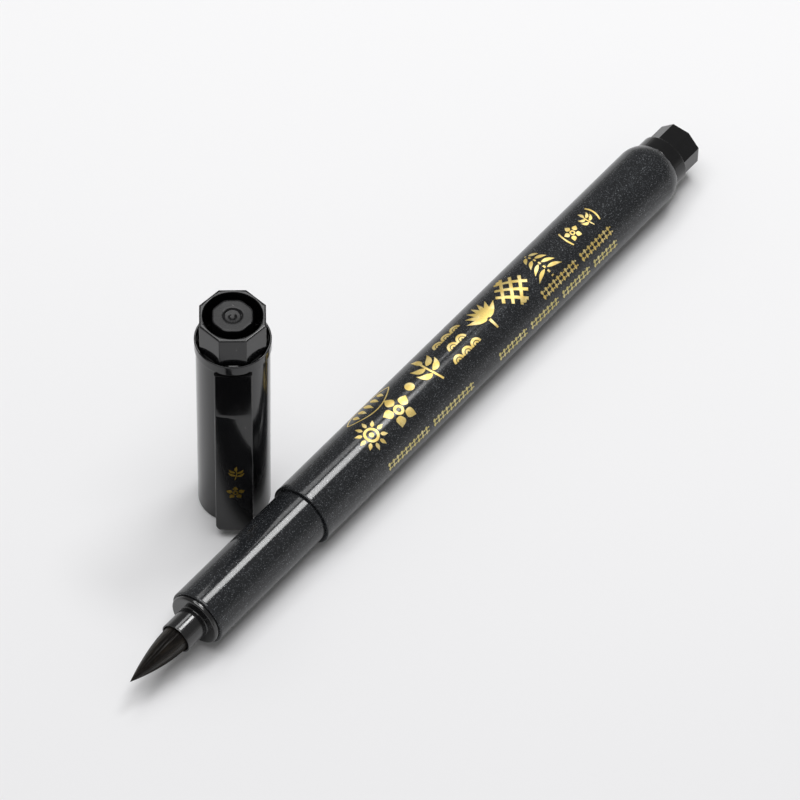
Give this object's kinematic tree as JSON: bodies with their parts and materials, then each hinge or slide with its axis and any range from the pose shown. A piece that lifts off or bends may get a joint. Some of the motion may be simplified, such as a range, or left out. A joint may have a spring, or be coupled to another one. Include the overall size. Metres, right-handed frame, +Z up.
{
  "type": "calligraphy marker",
  "caption": "Refillable brush-tip calligraphy marker lying on its side, with its clip cap off and standing on its mouth beside it.",
  "frame": {"origin": "under the middle of the bounding box of the pen and the cap beside it, on the surface they rest on", "axes": "+X along the pen's axis from the brush tip to the tail plug, +Y to the side where the cap stands, +Z up"},
  "size_m": [0.1518, 0.0269, 0.0477],
  "materials": {
    "lacquered_barrel": "charcoal plastic with fine silver-grey flecks under a clear gloss coat",
    "gloss_black": "smooth moulded black, high gloss",
    "bristle": "fine nylon hair, wet with black ink",
    "white_plastic": "plain moulded, satin",
    "ink_fibre": "polyester fibre soaked with black ink",
    "film": "thin clear wrapping film"
  },
  "bodies": {
    "pen": {"barrel": "lacquered_barrel", "grip_section": "lacquered_barrel", "nib_holder": "gloss_black", "brush_collar": "white_plastic", "bristle_heel": "bristle", "bristle_root": "bristle", "feed_wick": "ink_fibre", "ink_reservoir": "ink_fibre", "reservoir_film": "film"},
    "brush": {"bristle_tip": "bristle"},
    "plug": {"tail_plug": "gloss_black"},
    "cap": {"cap_shell": "gloss_black", "cap_crown": "gloss_black", "inner_cap": "gloss_black"},
    "clip": {"pocket_clip": "gloss_black"}
  },
  "joints": [
    {"name": "brush_flex", "type": "hinge", "parent": "pen", "child": "brush", "pos_m": [-0.06428, -0.00758, 0.00588], "axis": [0, 1, 0], "range_deg": [-20, 20], "stiffness_Nm_per_rad": 0.0066},
    {"name": "tail_plug_pull", "type": "slide", "parent": "pen", "child": "plug", "axis": [1, 0, 0], "range_m": [0, 0.009]},
    {"name": "cap_lift", "type": "slide", "parent": "pen", "child": "cap", "axis": [0, 0, 1], "range_m": [0, 0.055]},
    {"name": "clip_flex", "type": "hinge", "parent": "cap", "child": "clip", "pos_m": [-0.03588, 0.00308, 0.03958], "axis": [-0.6368, 0.7711, 0], "range_deg": [0, 1.5], "stiffness_Nm_per_rad": 2.1}
  ]
}
